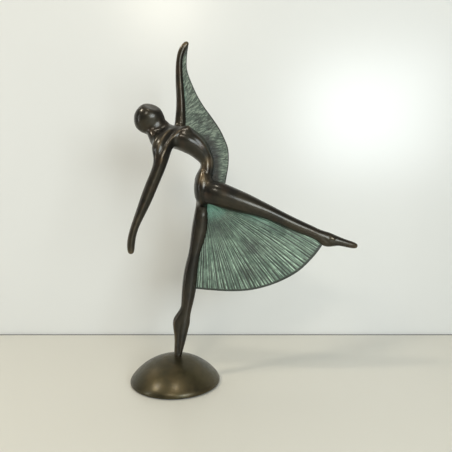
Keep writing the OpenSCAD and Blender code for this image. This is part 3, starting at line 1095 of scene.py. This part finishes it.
def new_finish(name, metallic, coat, coat_roughness=0.25):
    material = bpy.data.materials.new(name)
    material.use_nodes = True
    surface = material.node_tree.nodes["Principled BSDF"]
    surface.inputs["Metallic"].default_value = metallic
    surface.inputs["Coat Weight"].default_value = coat
    surface.inputs["Coat Roughness"].default_value = coat_roughness
    return material, surface, Wires(material.node_tree)


def add_bump(w, surface, height, strength, distance):
    bump = w.node("ShaderNodeBump")
    bump.inputs["Strength"].default_value = strength
    bump.inputs["Distance"].default_value = distance
    w.join(height, bump.inputs["Height"])
    w.join(bump.outputs["Normal"], surface.inputs["Normal"])


# Places at the waist and the hip where golden highlights are painted into the colour, and how far each
# reaches, in metres.
PAINTED_HIGHLIGHT_PLACES = [
    ((0.048, -0.010, 0.294), 0.012),
    ((0.037, -0.012, 0.288), 0.009),
    ((0.041, -0.018, 0.274), 0.013),
]
# Places where the skirt shows less of its green bloom and is darker, in metres.
LESS_BLOOM_PLACES = [
    ((0.060, 0.000, 0.205), 0.026),
    ((0.105, -0.004, 0.186), 0.027),
    ((0.098, -0.002, 0.150), 0.018),
]


def body_bronze(groups):
    material, surface, w = new_finish("body_bronze", 0.9, 0.5, 0.19)
    # Painted highlights: the base colour is made lighter and golden at the waist and the hip.
    lighter_share = 0.0
    for centre, reach in PAINTED_HIGHLIGHT_PLACES:
        lighter_share = w.maths("ADD", w.group(groups["spot"], Centre=centre, Reach=reach)["Mask"], lighter_share, True)
    patina = w.group(
        groups["brown"],
        Dark=(0.016, 0.0145, 0.010, 1),
        Warm=(0.046, 0.038, 0.023, 1),
        Russet=(0.044, 0.026, 0.014, 1),
        Rubbed=(0.26, 0.19, 0.105, 1),
        Rub=w.maths("MULTIPLY", lighter_share, 0.55),
        Rise=w.attribute("rise"),
    )
    w.join(patina["Color"], surface.inputs["Base Color"])
    w.join(patina["Roughness"], surface.inputs["Roughness"])
    add_bump(w, surface, patina["Height"], 0.25, 0.0003)
    return material


def dome_bronze(groups):
    material, surface, w = new_finish("dome_bronze", 0.9, 0.3, 0.25)
    patina = w.group(
        groups["brown"],
        Dark=(0.050, 0.042, 0.020, 1),
        Warm=(0.088, 0.070, 0.031, 1),
        Russet=(0.070, 0.046, 0.020, 1),
        Rubbed=(0.26, 0.2, 0.1, 1),
    )
    w.join(patina["Color"], surface.inputs["Base Color"])
    w.join(patina["Roughness"], surface.inputs["Roughness"])
    add_bump(w, surface, patina["Height"], 0.2, 0.0003)
    return material


def skirt_verdigris(groups):
    material, surface, w = new_finish("skirt_verdigris", 0.1, 0.0)
    round_share, out_share = w.attribute("first"), w.attribute("second")
    patch = w.noise(w.object_coordinates(), 34.0, 4.0)
    # Less bloom, and so a darker skirt, about the listed places and along the standing leg.
    upper, middle, low = [
        w.group(groups["spot"], Centre=centre, Reach=reach)["Mask"] for centre, reach in LESS_BLOOM_PLACES
    ]
    less_bloom = w.maths("ADD", upper, middle, True)
    less_bloom = w.maths("MULTIPLY", less_bloom, w.spread(w.noise(w.object_coordinates(), 110.0), 0.35, 0.6, 0.4, 1.0))
    less_bloom = w.maths("ADD", less_bloom, low, True)
    less_bloom = w.maths("ADD", less_bloom, w.spread(round_share, 0.075, 0.0), True)
    marked = w.maths("MULTIPLY", less_bloom, 0.6)
    cover = w.maths("SUBTRACT", w.spread(patch, 0.30, 0.52, 0.85, 1.0), marked, True)
    rim = w.spread(out_share, 0.974, 0.990, 1.0, 0.05)
    bloom = w.group(
        groups["verdigris"],
        Relief=w.attribute("relief"),
        Cover=w.maths("MULTIPLY", cover, rim),
        Crest=0.42,
        Breakup=0.4,
        Pale=(0.60, 0.79, 0.62, 1),
        Deep=(0.135, 0.205, 0.155, 1),
        Groove=(0.026, 0.030, 0.023, 1),
    )
    apex = w.spread(w.maths("ADD", out_share, w.maths("MULTIPLY", patch, 0.25)), 0.17, 0.33, 1.0, 0.0)
    seam = w.maths("MULTIPLY", w.spread(round_share, 0.80, 0.97), w.spread(out_share, 0.7, 0.25))
    raised = w.spread(w.attribute("relief"), 0.05, 0.6, 0.15, 0.9)
    blue = w.maths("MULTIPLY", w.maths("MAXIMUM", apex, seam), raised)
    w.join(w.blend(blue, bloom["Color"], (0.23, 0.58, 0.47, 1)), surface.inputs["Base Color"])
    w.join(bloom["Roughness"], surface.inputs["Roughness"])
    add_bump(w, surface, bloom["Height"], 0.5, 0.0004)
    return material


def wing_patina(groups):
    material, surface, w = new_finish("wing_patina", 0.2, 0.0)
    across, down = w.attribute("first"), w.attribute("second")
    patch = w.noise(w.object_coordinates(), 40.0, 4.0)
    edge = w.spread(across, 0.955, 0.98, 1.0, 0.0)
    # Less bloom, and so a darker wing, in a band along the body, at its lower end and at the hand.
    root = w.maths("MULTIPLY", w.spread(across, 0.78, 0.42), w.spread(down, 0.52, 0.64))
    low = w.spread(w.maths("ADD", down, w.maths("MULTIPLY", patch, 0.15)), 0.94, 1.06)
    tip = w.spread(down, 0.12, 0.04)
    less_bloom = w.maths("MAXIMUM", w.maths("MAXIMUM", root, low), tip)
    marked = w.maths("MULTIPLY", less_bloom, 0.92)
    cover = w.maths("SUBTRACT", w.spread(patch, 0.32, 0.55, 0.55, 1.0), marked, True)
    bloom = w.group(
        groups["verdigris"],
        Relief=w.attribute("relief"),
        Cover=w.maths("MULTIPLY", edge, cover),
        Crest=0.5,
        Breakup=0.8,
        Pale=(0.26, 0.315, 0.25, 1),
        Deep=(0.115, 0.15, 0.12, 1),
        Groove=(0.017, 0.019, 0.016, 1),
    )
    strip = w.maths("MULTIPLY", w.spread(across, 0.4, 0.12), w.spread(down, 0.42, 0.3))
    colour = w.blend(w.maths("MULTIPLY", strip, 0.6), bloom["Color"], (0.10, 0.24, 0.19, 1))
    w.join(colour, surface.inputs["Base Color"])
    w.join(bloom["Roughness"], surface.inputs["Roughness"])
    add_bump(w, surface, bloom["Height"], 0.5, 0.0004)
    return material


def felt_finish():
    material, surface, w = new_finish("green_felt", 0.0, 0.0)
    place = w.object_coordinates()
    fibre = w.noise(place, 2500.0, 6.0, 0.8)
    clump = w.noise(place, 300.0, 3.0)
    colour = w.blend(w.spread(fibre, 0.35, 0.65), (0.02, 0.05, 0.03, 1), (0.06, 0.12, 0.08, 1))
    clumped = w.blend(w.spread(clump, 0.4, 0.7, 0.0, 0.4), colour, (0.03, 0.07, 0.05, 1))
    w.join(clumped, surface.inputs["Base Color"])
    surface.inputs["Roughness"].default_value = 0.95
    add_bump(w, surface, fibre, 0.8, 0.0004)
    return material


def zinc_finish():
    material, surface, w = new_finish("zinc_plate", 1.0, 0.0)
    place = w.object_coordinates()
    spangle = w.noise(place, 700.0, 2.0)
    colour = w.blend(w.spread(spangle, 0.4, 0.6), (0.42, 0.43, 0.45, 1), (0.60, 0.61, 0.62, 1))
    w.join(colour, surface.inputs["Base Color"])
    w.join(w.spread(spangle, 0.3, 0.7, 0.22, 0.42), surface.inputs["Roughness"])
    add_bump(w, surface, w.noise(place, 1500.0, 3.0), 0.2, 0.0002)
    return material


# The stud with its nut and washers, and the pins and dowels, all plated.
FIXINGS = ["base_stud", "plain_washer", "spring_washer", "hex_nut"]
FIXINGS += ["neck_dowel", "arm_dowels", "leg_dowels", "skirt_pins", "wing_pins"]


def dress(piece, material):
    piece.data.materials.clear()
    piece.data.materials.append(material)


def main():
    add_camera()
    add_world()
    add_room()
    add_light("ceiling_lamp", (-0.22, -1.45, 1.10), (0.05, 0, 0.30), (0.28, 0.20), 4.0, (1.0, 0.93, 0.80))
    add_light("side_lamp", (-1.27, -0.60, 1.77), (0.0, 0, 0.10), (0.27, 0.27), 12, (1.0, 0.90, 0.74))
    add_light("down_lamp", (0.11, -0.95, 2.05), (0.05, 0, 0.10), (0.25, 0.25), 6.5, (1.0, 0.91, 0.76))
    add_light("ceiling_panel", (0.1, -0.4, 2.3), (0.1, -0.4, 0), (2.4, 2.4), 4, (0.96, 0.98, 1.0))
    add_light("side_window", (-0.95, -0.45, 0.34), (0.03, 0, 0.22), (0.10, 0.60), 1.6, (0.95, 0.98, 1.0))
    add_light("window", (0.70, -1.25, 0.53), (0.05, 0, 0.20), (0.56, 0.48), 9.8, (0.88, 0.96, 1.0))
    add_light("far_window", (0.58, -1.75, 0.58), (0.15, 0, 0.35), (0.34, 0.34), 1.0, (0.88, 0.96, 1.0))

    groups = {"brown": brown_patina_group(), "spot": spot_group(), "verdigris": verdigris_group()}
    bronze = body_bronze(groups)
    castings = make_figure()
    for node, piece in castings.items():
        dress(piece, bronze)
        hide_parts(node)
        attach(piece, "root")
    skirt = make_skirt()
    dress(skirt, skirt_verdigris(groups))
    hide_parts("skirt_fan")
    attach(skirt, "root")
    wing = make_wing()
    dress(wing, wing_patina(groups))
    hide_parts("wing_fan")
    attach(wing, "root")
    dome = make_dome()
    dress(dome, dome_bronze(groups))
    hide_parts("base_dome")
    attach(dome, "root")

    zinc = zinc_finish()
    dress(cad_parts["felt_disc"], felt_finish())
    for node in FIXINGS:
        dress(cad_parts[node], zinc)


main()
